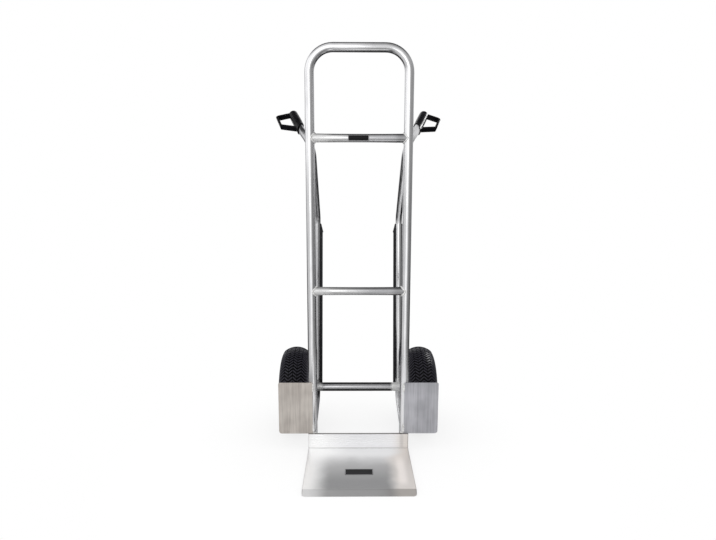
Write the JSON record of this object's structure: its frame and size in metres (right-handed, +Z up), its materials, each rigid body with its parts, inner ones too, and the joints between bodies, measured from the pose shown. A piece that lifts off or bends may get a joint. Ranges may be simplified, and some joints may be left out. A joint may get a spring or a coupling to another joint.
{
  "type": "sack truck",
  "caption": "Aluminium sack truck with a hoop-top tube frame, waisted crossbars, toe plate, bent stair skids with D-grips, wheel guards and pneumatic wheels on ball bearings.",
  "frame": {"origin": "on the floor, midway between the rails, below the front face of the toe plate's upright flange", "axes": "+Z up, -Y forward along the toe plate, +X to the right as seen from the front"},
  "size_m": [0.5366, 0.589, 1.255],
  "materials": {
    "tube": "polished tube with faint drawing lines",
    "toe_plate": "satin anodised extrusion",
    "guard": "brushed sheet",
    "strip": "satin black",
    "grip": "satin black moulding",
    "tyre": "matt black rubber",
    "tube_rubber": "matt black rubber",
    "rim": "silver paint",
    "steel": "zinc plated",
    "rivet": "plain",
    "bearing": "ground"
  },
  "bodies": {
    "frame": {"main_frame": "tube", "upper_crossbar": "tube", "middle_crossbar": "tube", "toe_plate": "toe_plate", "axle_tube": "tube", "axle": "steel", "axle_washers": "steel", "split_pins": "steel", "skid_rivets": "rivet", "left_wheel_guard": "guard", "left_skid_tube": "tube", "left_skid_clamp": "strip", "left_skid_strip": "strip", "left_grip": "grip", "left_inner_races": "bearing", "right_wheel_guard": "guard", "right_skid_tube": "tube", "right_skid_clamp": "strip", "right_skid_strip": "strip", "right_grip": "grip", "right_inner_races": "bearing"},
    "left_wheel": {"left_tyre": "tyre", "left_inner_tube": "tube_rubber", "left_outer_rim": "rim", "left_inner_rim": "rim", "left_hub": "rim", "left_outer_races": "bearing", "left_bearing_balls": "bearing", "left_bearing_shields": "bearing", "left_rim_bolts": "steel", "left_rim_nuts": "steel", "left_valve": "tube_rubber"},
    "right_wheel": {"right_tyre": "tyre", "right_inner_tube": "tube_rubber", "right_outer_rim": "rim", "right_inner_rim": "rim", "right_hub": "rim", "right_outer_races": "bearing", "right_bearing_balls": "bearing", "right_bearing_shields": "bearing", "right_rim_bolts": "steel", "right_rim_nuts": "steel", "right_valve": "tube_rubber"}
  },
  "joints": [
    {"name": "left_wheel_spin", "type": "hinge", "parent": "frame", "child": "left_wheel", "pos_m": [-0.218, 0.2, 0.141], "axis": [1, 0, 0], "continuous": true},
    {"name": "right_wheel_spin", "type": "hinge", "parent": "frame", "child": "right_wheel", "pos_m": [0.218, 0.2, 0.141], "axis": [1, 0, 0], "continuous": true}
  ]
}
